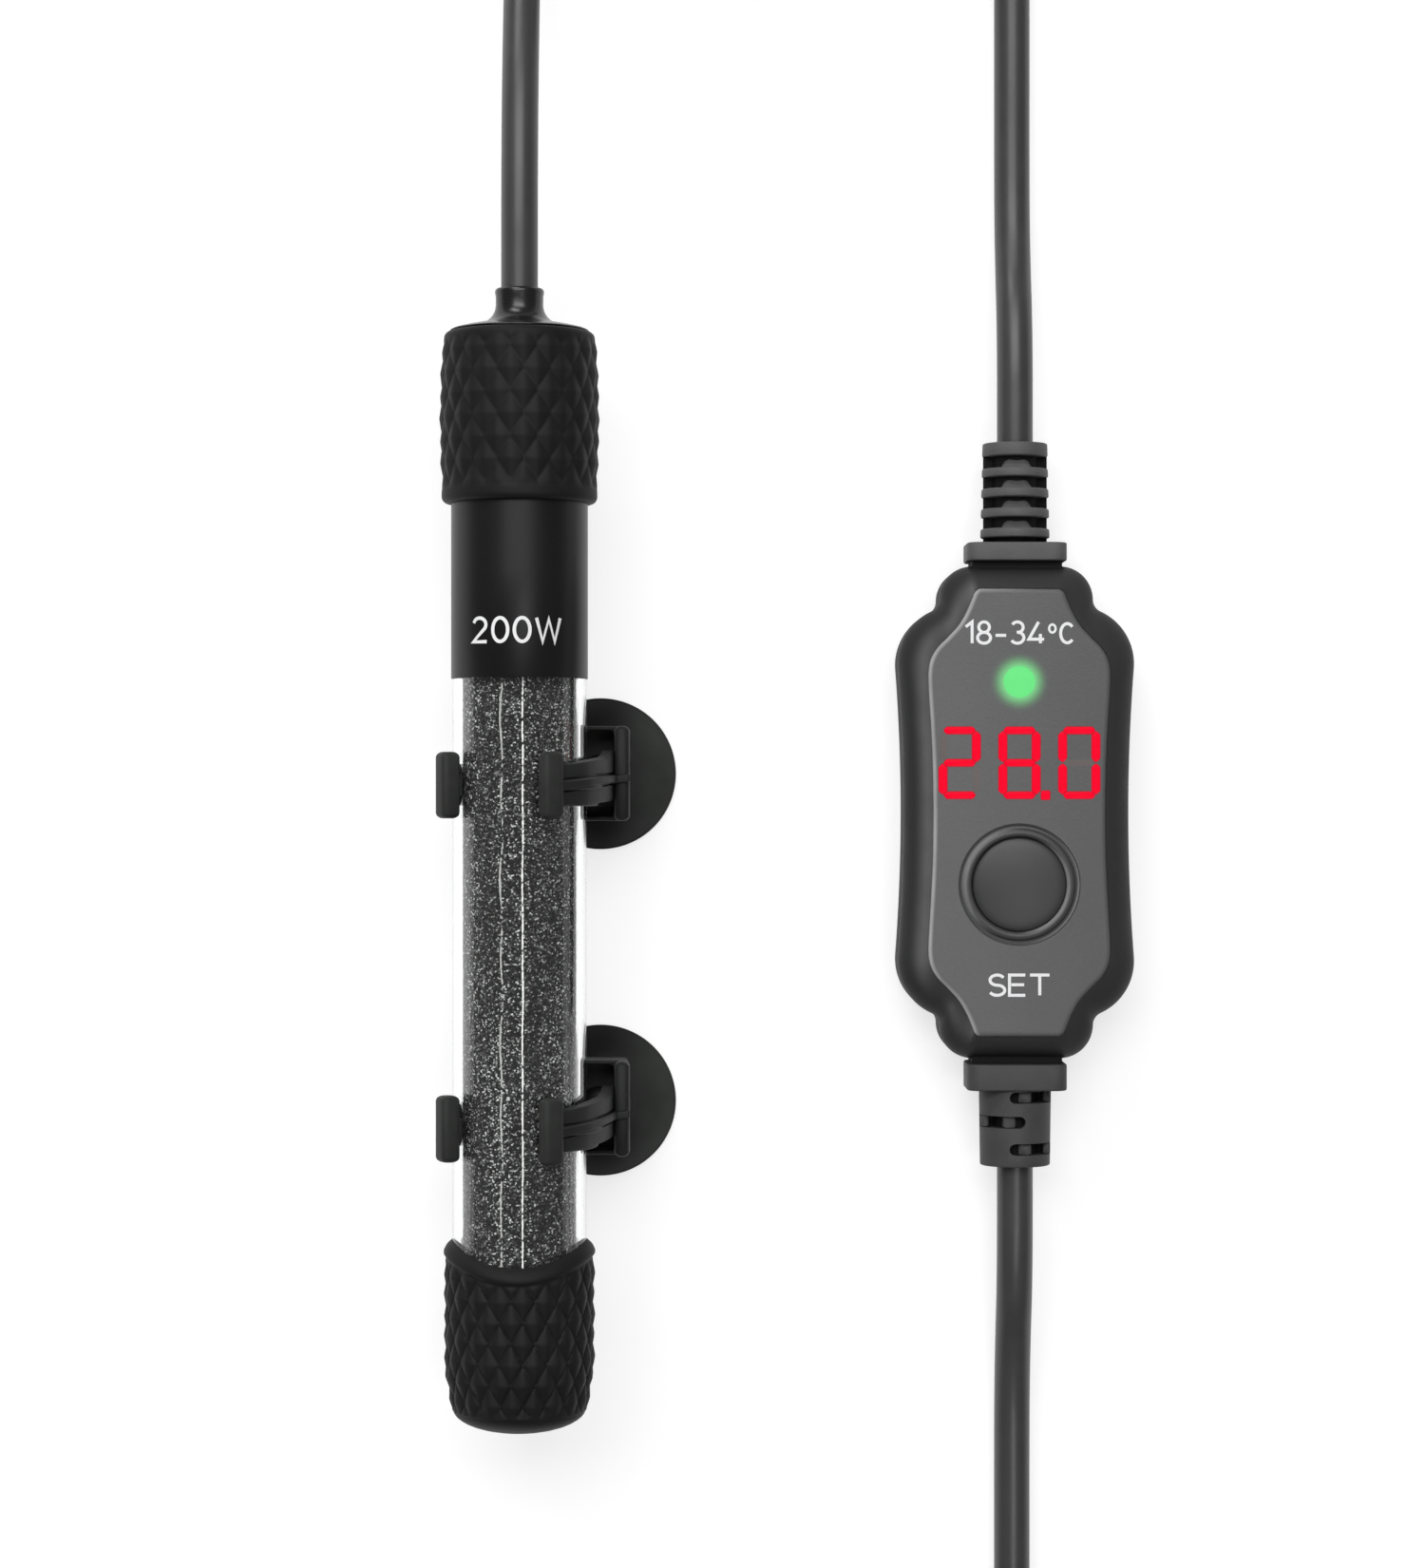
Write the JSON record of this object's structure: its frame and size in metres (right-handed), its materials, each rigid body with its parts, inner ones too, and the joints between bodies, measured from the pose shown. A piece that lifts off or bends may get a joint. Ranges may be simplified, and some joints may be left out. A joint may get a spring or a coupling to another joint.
{
  "type": "submersible aquarium heater",
  "caption": "Glass tube heater with knurled rubber end caps on suction-cup clips, wired to an in-line temperature controller with a lit display and a set button.",
  "frame": {"origin": "on the surface that the suction cups hold, under the middle of heater and controller", "axes": "+Y along the tube from its foot to its lead, +X from the heater to the controller, +Z away from the surface"},
  "size_m": [0.1322, 0.5711, 0.046],
  "materials": {
    "clear_glass": "clear drawn glass",
    "sleeve": "satin black film",
    "grip_rubber": "matte moulded rubber",
    "boot_rubber": "smooth moulded rubber",
    "seal": "silicone",
    "stopper": "cast sealing compound",
    "pad": "soft silicone",
    "sand": "packed dark grains",
    "ceramic": "fired ceramic",
    "element": "resistance wire",
    "wire": "bare wire",
    "insulation": "insulated wire",
    "sensor": "coated bead",
    "fuse": "pressed case",
    "clip": "satin moulded plastic",
    "cup": "satin soft rubber",
    "case": "satin moulded plastic",
    "panel": "fine-grained matt plastic",
    "gasket": "soft seal",
    "screw": "plated steel",
    "board": "laminate",
    "module": "moulded block",
    "lit": "lit light guide",
    "unlit": "dark light guide",
    "lens": "lit lens",
    "chip": "small chip",
    "button": "satin moulded plastic",
    "switch": "moulded",
    "relay": "moulded",
    "capacitor": "dipped",
    "terminal": "moulded",
    "relief": "matte moulded rubber",
    "cord": "smooth cable sheath",
    "tie": "plastic strip",
    "plug": "moulded",
    "pin": "nickel-plated brass"
  },
  "bodies": {
    "heater_set": {"glass_tube": "clear_glass", "tube_sleeve": "sleeve", "top_cap": "grip_rubber", "cord_boot": "boot_rubber", "tube_seal": "seal", "stopper": "stopper", "bottom_cap": "grip_rubber", "foot_pad": "pad", "quartz_sand": "sand", "ceramic_former": "ceramic", "heating_coil": "element", "base_disc": "ceramic", "retaining_disc": "ceramic", "return_wire": "wire", "sensor_wire": "wire", "thermal_sensor": "sensor", "thermal_fuse": "fuse", "element_wires": "insulation", "case_front": "case", "front_panel": "panel", "case_back": "case", "case_gasket": "gasket", "case_screws": "screw", "circuit_board": "board", "display_module": "module", "display_lit": "lit", "display_unlit": "unlit", "indicator_lens": "lens", "indicator_chip": "chip", "button_ring": "button", "switch_body": "switch", "power_relay": "relay", "mains_capacitor": "capacitor", "control_chip": "switch", "upper_relief": "relief", "lower_relief": "relief", "element_terminal": "terminal", "mains_terminal": "terminal", "heater_lead": "cord", "heater_lead_coil": "cord", "controller_lead": "cord", "heater_coil_tie": "tie", "supply_lead": "cord", "supply_lead_coil": "cord", "plug_lead": "cord", "supply_coil_tie": "tie", "plug_body": "plug", "plug_pins": "pin"},
    "set_button": {"set_button": "button", "switch_plunger": "switch"},
    "upper_clip": {"upper_clip": "clip"},
    "lower_clip": {"lower_clip": "clip"},
    "upper_cup": {"upper_suction_cup": "cup"},
    "lower_cup": {"lower_suction_cup": "cup"}
  },
  "joints": [
    {"name": "set_press", "type": "slide", "parent": "heater_set", "child": "set_button", "axis": [0, 0, -1], "range_m": [0, 0.0006], "stiffness_N_per_m": 1200, "springref_m": -0.0003},
    {"name": "upper_clip_slide", "type": "slide", "parent": "heater_set", "child": "upper_clip", "axis": [0, 1, 0], "range_m": [-0.015, 0.012]},
    {"name": "lower_clip_slide", "type": "slide", "parent": "heater_set", "child": "lower_clip", "axis": [0, 1, 0], "range_m": [-0.012, 0.015]},
    {"name": "upper_cup_swivel", "type": "hinge", "parent": "upper_clip", "child": "upper_cup", "pos_m": [-0.0363, 0.0161, 0.005], "axis": [0, 0, 1], "continuous": true},
    {"name": "lower_cup_swivel", "type": "hinge", "parent": "lower_clip", "child": "lower_cup", "pos_m": [-0.0363, -0.0474, 0.005], "axis": [0, 0, 1], "continuous": true}
  ]
}
